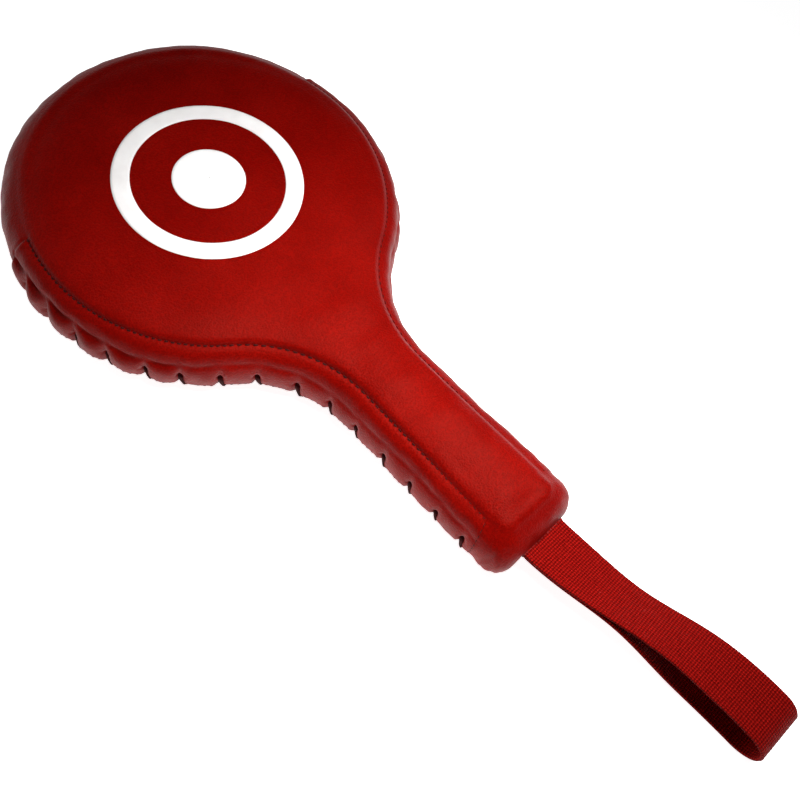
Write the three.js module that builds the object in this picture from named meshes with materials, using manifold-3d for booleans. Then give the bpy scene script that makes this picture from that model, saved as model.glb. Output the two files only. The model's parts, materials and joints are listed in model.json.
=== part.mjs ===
// Boxing focus paddle: a round padded target head on a flat padded handle,
// with a webbing wrist loop at the handle's end.
//
// Frame: millimetres, +Z up. The paddle lies on its back on z = 0 with its striking face up.
// +X runs from the head along the handle to the wrist loop. The origin is under the middle
// of the whole object. All leather, foam and lacing sections are written as [inset, z] pairs:
// inset is the distance inwards from the widest outline, z the height above the back.

import * as THREE from 'three';
import { mergeVertices } from 'three/addons/utils/BufferGeometryUtils.js';
import Module from 'manifold-3d';

// ---------------------------------------------------------------- driving dimensions

const HEAD_RADIUS = 110;
const HANDLE_HALF_WIDTH = 29;
const HANDLE_END = 262; // head centre to the handle's end
const NECK_FILLET = 67;
const END_CORNER = 12;
const GAP = 0.3; // left between touching pieces

const BAND_START_ANGLE = (107 * Math.PI) / 180; // from the handle's direction, round the head
const BAND_END_FROM_CORNER = 8;

const LACE_COUNT = 15;
const LACE_RADIUS = 1;
const LACE_FIRST = 16; // from the side band's start to its first lace hole
const LACE_LAST = 7; // from its last lace hole to the band's end
const HOLE_RADIUS = 2.9;
const BAND_HOLE = [0.9, 17]; // [inset, z]
const BACK_HOLE = [7.4, 3.4];
const BACK_HOLE_SHARE = 0.29; // how far the lace slants along the edge, as a share of its pitch
const BAND_STEPS = 26;
const END_STEPS = 20;

const WEB_WIDTH = 30;
const WEB_THICKNESS = 1.8;
const STRAP_Z = 18; // between the two plies where they leave the handle
const STRAP_Y = 6; // the strap leaves the handle a little off its middle
const STRAP_REACH = 148; // from the strap's hinge line to the far end of its loop
const STRAP_DRIFT = 16; // sideways, over the loop's length
const STRAP_BOW = 4; // sideways, at the middle of the loop's length
const STRAP_DROP = 3; // downwards, over the loop's length
const STRAP_SAG = 2.5; // downwards, at the middle of the loop's length
const LOOP_HALF_OPENING = 12.5;
const PLIES_TOGETHER = 28;
const SIDE_GAP = 1; // beside the strap in its slot and pocket
const SLOT_HALF_HEIGHT = 3.4;
const SLOT_DEPTH = 12;
const POCKET_HALF_HEIGHT = 2.9;
const POCKET_BEYOND_TAIL = 8;
const BOX_STITCH_FROM_TAIL = 4;
const BOX_STITCH_LENGTH = 26;
const BOX_STITCH_HALF_WIDTH = 12;
const BOX_STITCH_WIDTH = 0.8;
const BOX_STITCH_HEIGHT = 0.6;
const CROSS_THREAD_SIZE = 0.7;
const CROSS_THREAD_FROM_SEAM = 2.5;
const TAIL_LENGTH = 58;
const HINGE_FROM_END = 3;
const TAIL_FROM_HINGE = 2.6;

const PRINT_THICKNESS = 0.3;
const RING_OUTER = 52;
const RING_INNER = 42;
const DOT_RADIUS = 20;

const HEAD_X = (HEAD_RADIUS - (HANDLE_END + HINGE_FROM_END + STRAP_REACH)) / 2;
const STRAP_HINGE_X = HANDLE_END + HINGE_FROM_END;

// ---------------------------------------------------------------- sections, [inset, z]

const FACE_OUTSIDE = [[10, 38.2], [11.6, 40.4], [15, 42.3], [20, 43.4], [25, 44]];
const FACE_INSIDE = [[11.7, 36.3], [11.7, 38.2], [13, 39.2], [16.2, 40.8], [21, 41.8], [25.5, 42.4]];
const BACK_OUTSIDE = [[17, 0], [10.5, 1.1], [6.6, 3.1], [4.2, 5.6], [3.2, 8.6]];
const BACK_INSIDE = [[18, 1.7], [11.5, 2.8], [8, 4.6], [5.9, 6.8], [5, 10]];
const WALL_OUTSIDE = [[10, 37.9], [5.4, 34.8], [2.2, 30.6], [0.4, 26], [0, 20], [0.6, 14], [2.2, 9.2]];
const WALL_INSIDE = [[3.9, 9.7], [2.3, 14.4], [1.7, 20], [2.1, 25.7], [3.8, 29.9], [6.6, 33.5], [11.3, 36.4]];
const WRAP_TOP = [[11.6, 38.9], [10.4, 38.5]]; // the wrapped leather runs on into the face panel
const FRONT_SOFT_FOAM = [
  [4.4, 27.7], [5.2, 29.8], [8.2, 33.4], [12.6, 36.3], [14.2, 38], [17.2, 39.7], [22, 40.8], [26, 41.4],
];
const FRONT_DENSE_FOAM = [[7.5, 14.9], [7.5, 18.9], [4.4, 19.6], [4.4, 27.4]];
const CORE_BOARD = [[10, 11.6], [10, 14.6]];
const BACK_DENSE_FOAM = [[10.2, 7.7], [10.2, 11.3]];
const BACK_SOFT_FOAM = [[18.5, 2.3], [12.5, 4.4], [10.5, 7.4]];
const FACE_THREAD = [[12, 41.5], [12.7, 41.5], [12.7, 42.1], [12, 42.1]];
const HEM_THREAD = [[0.4, 10.4], [1.05, 10.4], [1.05, 11.1], [0.4, 11.1]];

// The lace's path over one stitch: distance along the edge as a share of the pitch, inset, z.
const LACE_STITCH = [
  [-0.12, 4.6, 15.2],
  [-0.02, 1.4, 17.1],
  [0.02, -1.5, 16.2],
  [0.08, -1.4, 12],
  [0.14, 0, 8],
  [0.2, 1.9, 4.6],
  [0.25, 4.6, 2.1],
  [0.28, 6.9, 2.4],
  [0.31, 8.7, 6.1],
  [0.42, 7.4, 9],
];

// ---------------------------------------------------------------- materials

function paint(name, color, roughness) {
  return new THREE.MeshStandardMaterial({ name, color, roughness, metalness: 0 });
}

const LEATHER_RED = paint('cover_leather', 0x9b100a, 0.45);
const LACE_MAROON = paint('lace', 0x3a0606, 0.8);
const THREAD_RED = paint('thread', 0x6a0a08, 0.8);
const WEB_RED = paint('webbing', 0x8c0e0a, 0.85);
const PRINT_WHITE = paint('print', 0xf2ecea, 0.5);
const SOFT_FOAM = paint('soft_foam', 0xd8d2c4, 0.95);
const DENSE_FOAM = paint('dense_foam', 0x3a3a3c, 0.9);
const BOARD = paint('core_board', 0x8a7a62, 0.8);

// ---------------------------------------------------------------- plan outline

// One half of the outline at a given inset, from the head's tip to the middle of the
// handle's end: head arc, neck fillet, straight side, end corner, half the end.
function halfOutline(inset) {
  const radius = HEAD_RADIUS - inset;
  const halfWidth = HANDLE_HALF_WIDTH - inset;
  const end = HANDLE_END - inset;
  const fillet = NECK_FILLET + inset;
  const corner = Math.max(END_CORNER - inset, 0.4);
  const filletY = halfWidth + fillet;
  const filletX = Math.sqrt((radius + fillet) ** 2 - filletY ** 2);
  const neckAngle = Math.atan2(filletY, filletX);
  const arc = (cx, cy, r, from, to) => (u) => {
    const angle = from + (to - from) * u;
    return [cx + r * Math.cos(angle), cy + r * Math.sin(angle)];
  };
  const line = (x0, y0, x1, y1) => (u) => [x0 + (x1 - x0) * u, y0 + (y1 - y0) * u];
  return [
    arc(0, 0, radius, Math.PI, neckAngle),
    arc(filletX, filletY, fillet, neckAngle - Math.PI, -Math.PI / 2),
    line(filletX, halfWidth, end - corner, halfWidth),
    arc(end - corner, halfWidth - corner, corner, Math.PI / 2, 0),
    line(end, halfWidth - corner, end, 0),
  ];
}

const WIDEST = halfOutline(0);

function legLength(leg) {
  const steps = 200;
  let total = 0;
  for (let i = 0; i < steps; i += 1) {
    const a = leg(i / steps);
    const b = leg((i + 1) / steps);
    total += Math.hypot(b[0] - a[0], b[1] - a[1]);
  }
  return total;
}

const LEG_LENGTHS = WIDEST.map(legLength);
const HALF_LENGTH = LEG_LENGTHS.reduce((sum, length) => sum + length, 0);
const CORNER_START = LEG_LENGTHS[0] + LEG_LENGTHS[1] + LEG_LENGTHS[2];
const BAND_START = HEAD_RADIUS * (Math.PI - BAND_START_ANGLE);
const BAND_END = CORNER_START - BAND_END_FROM_CORNER;

// A point at distance s along the edge from the head's tip, on the +Y side (side 1) or -Y (-1).
// Before the tip and past the middle of the handle's end, it carries on round the other side.
function edgePoint(s, inset, side) {
  if (s < 0) {
    return edgePoint(-s, inset, -side);
  }
  if (s > HALF_LENGTH) {
    return edgePoint(2 * HALF_LENGTH - s, inset, -side);
  }
  const legs = halfOutline(inset);
  let left = s;
  let leg = 0;
  while (leg < legs.length - 1 && left > LEG_LENGTHS[leg]) {
    left -= LEG_LENGTHS[leg];
    leg += 1;
  }
  const [x, y] = legs[leg](left / LEG_LENGTHS[leg]);
  return [x, y * side];
}

// Distances along the edge at which the outline's corners and arcs are sampled.
function edgeStations() {
  const pieces = [16, 5, 1, 3, 1];
  const stations = [];
  let from = 0;
  pieces.forEach((count, leg) => {
    for (let i = 0; i < count; i += 1) {
      stations.push(from + (LEG_LENGTHS[leg] * i) / count);
    }
    from += LEG_LENGTHS[leg];
  });
  stations.push(HALF_LENGTH);
  return stations;
}

function contour(inset) {
  const stations = edgeStations();
  const near = stations.map((s) => edgePoint(s, inset, -1));
  const far = stations.slice(1, -1).reverse().map((s) => edgePoint(s, inset, 1));
  return near.concat(far).map(([x, y]) => new THREE.Vector2(x, y));
}

// ---------------------------------------------------------------- solids

function solidGeometry(positions, triangles) {
  const geometry = new THREE.BufferGeometry();
  geometry.setAttribute('position', new THREE.Float32BufferAttribute(positions, 3));
  geometry.setIndex(triangles);
  return geometry;
}

// A closed solid through one outline ring for each [inset, z] pair, from the lowest up.
function ringLoft(profile) {
  const rings = profile.map(([inset]) => contour(inset));
  const count = rings[0].length;
  const positions = rings.flatMap((ring, k) => ring.flatMap((p) => [p.x, p.y, profile[k][1]]));
  const triangles = [];
  for (let k = 0; k < rings.length - 1; k += 1) {
    for (let i = 0; i < count; i += 1) {
      const a = k * count + i;
      const b = k * count + ((i + 1) % count);
      triangles.push(a, b, b + count, a, b + count, a + count);
    }
  }
  const top = (rings.length - 1) * count;
  for (const [a, b, c] of THREE.ShapeUtils.triangulateShape(rings[0], [])) {
    triangles.push(a, c, b);
  }
  for (const [a, b, c] of THREE.ShapeUtils.triangulateShape(rings[rings.length - 1], [])) {
    triangles.push(top + a, top + b, top + c);
  }
  return facingOut(solidGeometry(positions, triangles));
}

function signedVolume(geometry) {
  const position = geometry.getAttribute('position');
  const index = geometry.getIndex();
  const corners = [new THREE.Vector3(), new THREE.Vector3(), new THREE.Vector3()];
  let total = 0;
  for (let i = 0; i < index.count; i += 3) {
    corners.forEach((corner, k) => corner.fromBufferAttribute(position, index.getX(i + k)));
    total += corners[0].dot(corners[1].clone().cross(corners[2]));
  }
  return total / 6;
}

// Shares the vertices, and turns every face if the solid is inside out.
function facingOut(geometry) {
  const bare = geometry.clone();
  bare.deleteAttribute('normal');
  bare.deleteAttribute('uv');
  const merged = mergeVertices(bare, 1e-4);
  if (signedVolume(merged) < 0) {
    const index = merged.getIndex();
    for (let i = 0; i < index.count; i += 3) {
      const b = index.getX(i + 1);
      index.setX(i + 1, index.getX(i + 2));
      index.setX(i + 2, b);
    }
  }
  return merged;
}

function reshape(geometry, move) {
  const position = geometry.getAttribute('position');
  for (let i = 0; i < position.count; i += 1) {
    const [x, y, z] = move(position.getX(i), position.getY(i), position.getZ(i));
    position.setXYZ(i, x, y, z);
  }
  return facingOut(geometry);
}

// A section of [inset, z] points carried along the edge from one distance to another.
function edgeStrip(section, from, to, steps, side) {
  const shape = new THREE.Shape(section.map(([inset, z]) => new THREE.Vector2(inset, z)));
  const options = { depth: to - from, steps, bevelEnabled: false };
  return reshape(new THREE.ExtrudeGeometry(shape, options), (inset, z, along) => {
    const [x, y] = edgePoint(from + along, inset, side);
    return [x, y, z];
  });
}

const wasm = await Module();
wasm.setup();

function toManifold(geometry) {
  const merged = facingOut(geometry);
  return new wasm.Manifold(new wasm.Mesh({
    numProp: 3,
    vertProperties: new Float32Array(merged.getAttribute('position').array),
    triVerts: new Uint32Array(merged.getIndex().array),
  }));
}

function fromManifold(solid) {
  const mesh = solid.getMesh();
  return solidGeometry(Array.from(mesh.vertProperties), Array.from(mesh.triVerts));
}

function cut(geometry, tools) {
  const solid = tools.reduce((rest, tool) => rest.subtract(toManifold(tool)), toManifold(geometry));
  return fromManifold(solid);
}

function join(geometries) {
  const [first, ...others] = geometries.map(toManifold);
  return fromManifold(others.reduce((sum, other) => sum.add(other), first));
}

function block(x0, x1, y0, y1, z0, z1) {
  const box = new THREE.BoxGeometry(x1 - x0, y1 - y0, z1 - z0);
  return box.translate((x0 + x1) / 2, (y0 + y1) / 2, (z0 + z1) / 2);
}

// ---------------------------------------------------------------- the assembly

const paddle = new THREE.Group();
paddle.position.x = HEAD_X;

function addPiece(name, geometry, material) {
  const mesh = new THREE.Mesh(geometry, material);
  mesh.name = name;
  paddle.add(mesh);
}

const SIDES = [['left', -1], ['right', 1]];

// The gap in the handle's end through which the strap leaves.
const strapSlot = block(
  HANDLE_END - SLOT_DEPTH, HANDLE_END + SLOT_DEPTH,
  STRAP_Y - WEB_WIDTH / 2 - SIDE_GAP, STRAP_Y + WEB_WIDTH / 2 + SIDE_GAP,
  STRAP_Z - SLOT_HALF_HEIGHT, STRAP_Z + SLOT_HALF_HEIGHT,
);

// Front panel: the crowned striking face, wrapped down over the head's tip and the handle's end.
function frontPanel() {
  const shell = cut(ringLoft(FACE_OUTSIDE), [ringLoft(FACE_INSIDE)]);
  const wall = WALL_OUTSIDE.slice(1).concat(WALL_INSIDE, WRAP_TOP);
  const tipWrap = edgeStrip(wall, GAP - BAND_START, BAND_START - GAP, BAND_STEPS, 1);
  const endWrap = edgeStrip(wall, BAND_END + GAP, 2 * HALF_LENGTH - BAND_END - GAP, END_STEPS, 1);
  return cut(join([shell, tipWrap, endWrap]), [strapSlot]);
}

function laceStation(stitch) {
  const first = BAND_START + LACE_FIRST;
  const last = BAND_END - LACE_LAST;
  return first + ((last - first) * stitch) / (LACE_COUNT - 1);
}

const LACE_PITCH = laceStation(1) - laceStation(0);

// A round hole through the leather at a distance along the edge.
function laceHole(s, [inset, z], side) {
  const [x, y] = edgePoint(s, inset, side);
  return new THREE.IcosahedronGeometry(HOLE_RADIUS).translate(x, y, z);
}

function stitches() {
  return Array.from({ length: LACE_COUNT }, (_, i) => i);
}

function sideBand(side) {
  const strip = edgeStrip(WALL_OUTSIDE.concat(WALL_INSIDE), BAND_START, BAND_END, BAND_STEPS, side);
  return cut(strip, stitches().map((i) => laceHole(laceStation(i), BAND_HOLE, side)));
}

function backPanel() {
  const dish = cut(ringLoft(BACK_OUTSIDE), [ringLoft(BACK_INSIDE)]);
  const holes = SIDES.flatMap(([, side]) => stitches().map((i) => (
    laceHole(laceStation(i) + BACK_HOLE_SHARE * LACE_PITCH, BACK_HOLE, side)
  )));
  return cut(dish, holes);
}

// One lace whips the side band's lower edge to the back panel, stitch after stitch.
function lace(side) {
  const points = stitches().flatMap((i) => LACE_STITCH.map(([share, inset, z]) => {
    const [x, y] = edgePoint(laceStation(i) + share * LACE_PITCH, inset, side);
    return new THREE.Vector3(x, y, z);
  }));
  const path = new THREE.CatmullRomCurve3(points, false, 'centripetal');
  const round = new THREE.Path().absarc(0, 0, LACE_RADIUS, 0, 2 * Math.PI);
  const section = new THREE.Shape(round.getPoints(2));
  const steps = LACE_COUNT * LACE_STITCH.length;
  return facingOut(new THREE.ExtrudeGeometry(section, { steps, extrudePath: path }));
}

// A thread that crosses the wall where the band meets the wrapped leather of the tip.
function crossThread(side) {
  const outside = WALL_OUTSIDE.slice(1);
  const grown = (distance) => outside.map(([inset, z]) => new THREE.Vector2(inset - distance, z));
  const shape = new THREE.Shape(grown(GAP + CROSS_THREAD_SIZE).concat(grown(GAP).reverse()));
  const options = { depth: CROSS_THREAD_SIZE, steps: 1, bevelEnabled: false };
  return reshape(new THREE.ExtrudeGeometry(shape, options), (inset, z, along) => {
    const [x, y] = edgePoint(BAND_START - CROSS_THREAD_FROM_SEAM + along, inset, side);
    return [x, y, z];
  });
}

addPiece('front_face_panel', frontPanel(), LEATHER_RED);
addPiece('back_panel', backPanel(), LEATHER_RED);
for (const [name, side] of SIDES) {
  const seam = [BAND_START, BAND_END, BAND_STEPS, side];
  addPiece(`side_band_${name}`, sideBand(side), LEATHER_RED);
  addPiece(`edge_lace_${name}`, lace(side), LACE_MAROON);
  addPiece(`face_seam_thread_${name}`, edgeStrip(FACE_THREAD, ...seam), THREAD_RED);
  addPiece(`hem_thread_${name}`, edgeStrip(HEM_THREAD, ...seam), THREAD_RED);
  addPiece(`cross_seam_thread_${name}`, crossThread(side), THREAD_RED);
}

// ---------------------------------------------------------------- padding and core

const strapPocket = block(
  STRAP_HINGE_X - TAIL_LENGTH - POCKET_BEYOND_TAIL, HANDLE_END,
  STRAP_Y - WEB_WIDTH / 2 - SIDE_GAP, STRAP_Y + WEB_WIDTH / 2 + SIDE_GAP,
  CORE_BOARD[1][1], STRAP_Z + POCKET_HALF_HEIGHT,
);

addPiece('front_soft_foam', ringLoft(FRONT_SOFT_FOAM), SOFT_FOAM);
addPiece('front_dense_foam', cut(ringLoft(FRONT_DENSE_FOAM), [strapPocket]), DENSE_FOAM);
addPiece('core_board', ringLoft(CORE_BOARD), BOARD);
addPiece('back_dense_foam', ringLoft(BACK_DENSE_FOAM), DENSE_FOAM);
addPiece('back_soft_foam', ringLoft(BACK_SOFT_FOAM), SOFT_FOAM);

// ---------------------------------------------------------------- wrist strap

// Half the opening between the loop's plies at a distance from the hinge line.
function halfOpening(distance) {
  const closed = (WEB_THICKNESS + GAP) / 2;
  const nose = LOOP_HALF_OPENING;
  const straight = STRAP_REACH - WEB_THICKNESS / 2 - nose;
  const swell = THREE.MathUtils.smootherstep(distance, PLIES_TOGETHER, straight);
  if (distance <= straight) {
    return closed + (nose - closed) * swell;
  }
  return Math.sqrt(Math.max(nose ** 2 - (distance - straight) ** 2, 0));
}

// Points on the middle of the webbing, out along the upper ply and back along the lower one.
function loopRoute() {
  const straight = STRAP_REACH - WEB_THICKNESS / 2 - LOOP_HALF_OPENING;
  const upper = [];
  for (let i = 0; i <= 12; i += 1) {
    const distance = (straight * i) / 12;
    upper.push(new THREE.Vector2(distance, halfOpening(distance)));
  }
  for (let i = 1; i <= 5; i += 1) {
    const angle = (Math.PI / 2) * (1 - i / 5);
    const x = straight + LOOP_HALF_OPENING * Math.cos(angle);
    upper.push(new THREE.Vector2(x, LOOP_HALF_OPENING * Math.sin(angle)));
  }
  const lower = upper.slice(0, -1).reverse().map((p) => new THREE.Vector2(p.x, -p.y));
  return upper.concat(lower);
}

// The route's outline, offset to one side by a distance.
function offsetRoute(route, distance) {
  return route.map((p, i) => {
    const before = route[Math.max(i - 1, 0)];
    const after = route[Math.min(i + 1, route.length - 1)];
    const along = after.clone().sub(before).normalize();
    return new THREE.Vector2(p.x - along.y * distance, p.y + along.x * distance);
  });
}

// A ribbon of webbing along a side-view route, from a point x0 on the handle's line.
function webbing(route, x0) {
  const half = WEB_THICKNESS / 2;
  const shape = new THREE.Shape(offsetRoute(route, half).concat(offsetRoute(route, -half).reverse()));
  const options = { depth: WEB_WIDTH, steps: 4, bevelEnabled: false };
  return reshape(new THREE.ExtrudeGeometry(shape, options), (distance, height, across) => {
    const share = THREE.MathUtils.smoothstep(distance, 0, STRAP_REACH);
    const bow = Math.sin((Math.PI * Math.max(distance, 0)) / STRAP_REACH);
    const y = STRAP_Y + across - WEB_WIDTH / 2 + STRAP_DRIFT * share + STRAP_BOW * bow;
    return [x0 + distance, y, STRAP_Z + height - STRAP_DROP * share - STRAP_SAG * bow];
  });
}

// The sewn tail inside the handle: the same two plies, folded together.
function tailRoute() {
  const apart = (WEB_THICKNESS + GAP) / 2;
  const length = TAIL_LENGTH - TAIL_FROM_HINGE;
  return [
    new THREE.Vector2(length, apart),
    new THREE.Vector2(0, apart),
    new THREE.Vector2(0, -apart),
    new THREE.Vector2(length, -apart),
  ];
}

function strapTail() {
  const half = WEB_THICKNESS / 2;
  const [outTop, inTop, inLow, outLow] = tailRoute();
  const shape = new THREE.Shape([
    new THREE.Vector2(outTop.x, outTop.y + half),
    new THREE.Vector2(inTop.x - half, inTop.y + half),
    new THREE.Vector2(inLow.x - half, inLow.y - half),
    new THREE.Vector2(outLow.x, outLow.y - half),
    new THREE.Vector2(outLow.x, outLow.y + half),
    new THREE.Vector2(inLow.x + half, inLow.y + half),
    new THREE.Vector2(inTop.x + half, inTop.y - half),
    new THREE.Vector2(outTop.x, outTop.y - half),
  ]);
  const tail = new THREE.ExtrudeGeometry(shape, { depth: WEB_WIDTH, steps: 1, bevelEnabled: false });
  return reshape(tail, (x, height, across) => [
    STRAP_HINGE_X - TAIL_LENGTH + x,
    STRAP_Y + across - WEB_WIDTH / 2,
    STRAP_Z + height,
  ]);
}

// A rectangle of thread under the tail that sews it to the core.
function boxStitch() {
  const low = STRAP_Z - WEB_THICKNESS - GAP / 2 - GAP;
  const x0 = STRAP_HINGE_X - TAIL_LENGTH + BOX_STITCH_FROM_TAIL;
  const frame = (inset, z0, z1) => block(
    x0 + inset, x0 + BOX_STITCH_LENGTH - inset,
    STRAP_Y - BOX_STITCH_HALF_WIDTH + inset, STRAP_Y + BOX_STITCH_HALF_WIDTH - inset,
    z0, z1,
  );
  return cut(frame(0, low - BOX_STITCH_HEIGHT, low), [frame(BOX_STITCH_WIDTH, low - 1, low + 1)]);
}

addPiece('wrist_strap_loop', webbing(loopRoute(), STRAP_HINGE_X), WEB_RED);
addPiece('wrist_strap_tail', strapTail(), WEB_RED);
addPiece('strap_box_stitch', boxStitch(), THREAD_RED);

// ---------------------------------------------------------------- printed target

function film(shape) {
  const options = { depth: PRINT_THICKNESS, bevelEnabled: false, curveSegments: 24 };
  const top = FACE_OUTSIDE[FACE_OUTSIDE.length - 1][1];
  return facingOut(new THREE.ExtrudeGeometry(shape, options).translate(0, 0, top + GAP));
}

function disc(radius) {
  return new THREE.Shape().absarc(0, 0, radius, 0, 2 * Math.PI);
}

const ring = disc(RING_OUTER);
ring.holes.push(new THREE.Path().absarc(0, 0, RING_INNER, 0, 2 * Math.PI, true));
addPiece('print_ring', film(ring), PRINT_WHITE);
addPiece('print_dot', film(disc(DOT_RADIUS)), PRINT_WHITE);

const part = new THREE.Group();
part.add(paddle);

export default part;
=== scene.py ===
"""A boxing focus paddle: padded leather head and handle, laced edge, webbing wrist loop.

Lengths are in millimetres in the shape code, with the head's centre at x = 0, y = 0 and the
paddle's back on z = 0. place() turns them into the frame's metres. A point on the cover is given
by s, the distance round the edge from the head's tip along the -Y side to the handle's end and
back along the +Y side, and q, the distance along the cover's section from the face seam: negative
on the striking face, positive down the side and under the back.
"""
import json
import math

import bpy
import numpy as np
from mathutils import Matrix, Vector
from mathutils.bvhtree import BVHTree


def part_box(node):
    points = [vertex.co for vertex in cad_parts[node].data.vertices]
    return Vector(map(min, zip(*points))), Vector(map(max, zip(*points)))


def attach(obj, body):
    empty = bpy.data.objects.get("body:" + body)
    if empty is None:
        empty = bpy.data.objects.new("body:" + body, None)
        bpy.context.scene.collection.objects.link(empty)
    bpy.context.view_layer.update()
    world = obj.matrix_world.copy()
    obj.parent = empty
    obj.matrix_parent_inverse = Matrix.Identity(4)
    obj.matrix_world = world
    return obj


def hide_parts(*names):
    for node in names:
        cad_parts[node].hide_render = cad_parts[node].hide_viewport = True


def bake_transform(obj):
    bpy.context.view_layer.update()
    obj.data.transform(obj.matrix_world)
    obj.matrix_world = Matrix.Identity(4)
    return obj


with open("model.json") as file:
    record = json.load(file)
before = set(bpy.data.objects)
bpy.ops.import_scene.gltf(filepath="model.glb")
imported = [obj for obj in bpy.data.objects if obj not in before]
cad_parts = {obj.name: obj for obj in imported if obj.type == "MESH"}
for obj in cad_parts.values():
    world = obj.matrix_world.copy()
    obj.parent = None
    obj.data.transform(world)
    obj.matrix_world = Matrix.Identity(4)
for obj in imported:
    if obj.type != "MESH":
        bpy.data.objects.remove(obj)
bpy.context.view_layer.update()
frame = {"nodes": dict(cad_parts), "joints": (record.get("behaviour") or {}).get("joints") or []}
MM = 0.001
rng = np.random.default_rng(7)

# ---------------------------------------------------------------- sizes from the frame

FACE_LOW, FACE_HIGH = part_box("front_face_panel")
DOT_LOW, DOT_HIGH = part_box("print_dot")
LOOP_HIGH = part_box("wrist_strap_loop")[1]
TAIL_LOW, TAIL_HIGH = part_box("wrist_strap_tail")
RING_LOW, RING_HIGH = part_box("print_ring")
HEAD_X = (DOT_LOW.x + DOT_HIGH.x) / 2 / MM
HEAD_RADIUS = HEAD_X - FACE_LOW.x / MM
HANDLE_END = FACE_HIGH.x / MM - HEAD_X
HANDLE_HALF_WIDTH = 29.0
NECK_FILLET = 67.0
END_CORNER = 12.0
CORNER_SHRINK = 0.5
LEAST_CORNER = 4.0
# the side bands run from this angle round the head to just before the handle's corner
BAND_START_ANGLE = math.radians(107)
BAND_END_FROM_CORNER = 8.0
# the first and last lace stitches, in from the band's two ends
LACE_COUNT = 15
LACE_FIRST = 16.0
LACE_LAST = 7.0

JOINT = frame["joints"][0]
HINGE_X = JOINT["pos_m"][0] / MM - HEAD_X
STRAP_Y = JOINT["pos_m"][1] / MM
STRAP_Z = JOINT["pos_m"][2] / MM
WEB_WIDTH = (TAIL_HIGH.y - TAIL_LOW.y) / MM
WEB_THICKNESS = 1.8
PLY_GAP = 0.3
STRAP_REACH = LOOP_HIGH.x / MM - HEAD_X - HINGE_X
# the loop leans to +Y and down by its end, and bows a little more on the way
STRAP_DRIFT = 16.0
STRAP_BOW = 4.0
STRAP_DROP = 3.0
STRAP_SAG = 2.5
LOOP_HALF_OPENING = 12.5
PLIES_TOGETHER = 28.0

# ---------------------------------------------------------------- plan outline

# the handle's end stands out a little on its +Y side
FLARE = 4.5
FLARE_FROM = 150.0


def ramp(x, low, high):
    """A smooth step from 0 at low to 1 at high."""
    t = np.clip((x - low) / (high - low), 0, 1)
    return t * t * (3 - 2 * t)


def half_legs(inset):
    """Sizes of the five legs of half the outline: head, fillet, handle, corner and end."""
    radius = HEAD_RADIUS - inset
    half = HANDLE_HALF_WIDTH - inset
    end = HANDLE_END - inset
    fillet = NECK_FILLET + inset
    corner = np.maximum(END_CORNER - CORNER_SHRINK * inset, LEAST_CORNER)
    fillet_y = half + fillet
    fillet_x = np.sqrt((radius + fillet) ** 2 - fillet_y ** 2)
    neck = np.arctan2(fillet_y, fillet_x)
    return radius, half, end, fillet, corner, fillet_x, fillet_y, neck


def leg_lengths():
    """How long each of the five legs is along the widest outline."""
    radius, half, end, fillet, corner, fillet_x, _, neck = half_legs(np.float64(0))
    return np.array([
        radius * (math.pi - neck),
        fillet * (math.pi / 2 - neck),
        end - corner - fillet_x,
        corner * math.pi / 2,
        half - corner,
    ])


LEGS = leg_lengths()
LEG_STARTS = np.concatenate([[0], np.cumsum(LEGS)])
HALF = LEG_STARTS[-1]
LOOP = 2 * HALF
BAND_START = HEAD_RADIUS * (math.pi - BAND_START_ANGLE)
BAND_END = LEG_STARTS[3] - BAND_END_FROM_CORNER
LACE_PITCH = (BAND_END - LACE_LAST - BAND_START - LACE_FIRST) / (LACE_COUNT - 1)


def edge(s, inset):
    """Plan points at distances s round the edge, at insets from the widest outline."""
    s, inset = np.broadcast_arrays(np.mod(np.asarray(s, float), LOOP), np.asarray(inset, float))
    side = np.where(s <= HALF, -1.0, 1.0)
    run = np.where(s <= HALF, s, LOOP - s)
    radius, half, end, fillet, corner, fillet_x, fillet_y, neck = half_legs(inset)
    share = [(run - LEG_STARTS[k]) / LEGS[k] for k in range(5)]
    head = math.pi + (neck - math.pi) * share[0]
    turn = neck - math.pi + (math.pi / 2 - neck) * share[1]
    bend = math.pi / 2 * (1 - share[3])
    xs = [
        radius * np.cos(head),
        fillet_x + fillet * np.cos(turn),
        fillet_x + (end - corner - fillet_x) * share[2],
        end - corner + corner * np.cos(bend),
        end + 0 * run,
    ]
    ys = [
        radius * np.sin(head),
        fillet_y + fillet * np.sin(turn),
        half + 0 * run,
        half - corner + corner * np.sin(bend),
        (half - corner) * (1 - share[4]),
    ]
    leg = [run < LEG_STARTS[k + 1] for k in range(4)]
    x = np.select(leg, xs[:4], xs[4])
    y = np.select(leg, ys[:4], ys[4])
    flare = FLARE * ramp(x, FLARE_FROM, HANDLE_END) * np.clip(y / HANDLE_HALF_WIDTH, 0, 1)
    return x, side * (y + np.where(side > 0, flare, 0))


def from_nearest_side(s):
    """Distance from the head's tip along whichever side s is on."""
    s = np.mod(s, LOOP)
    return np.where(s <= HALF, s, LOOP - s)


# ---------------------------------------------------------------- cover section

# The padded cover's section, [inset, z], from the face over the seam and side to the back.
FACE_RIM = [(30, 44.15), (25, 43.9), (20, 43.3), (15.6, 42.2), (12.4, 40.6)]
SEAM_POINT = (9.8, 38.4)
SIDE = [(6.0, 35.4), (3.1, 31.8), (1.1, 27.4), (0.15, 22.3), (0.2, 17), (1.3, 11.8)]
HEM_POINT = (3.4, 8.0)
UNDER = [(6.3, 4.6), (10.2, 2.1), (15, 0.7), (20, 0.15), (25, 0)]


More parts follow.
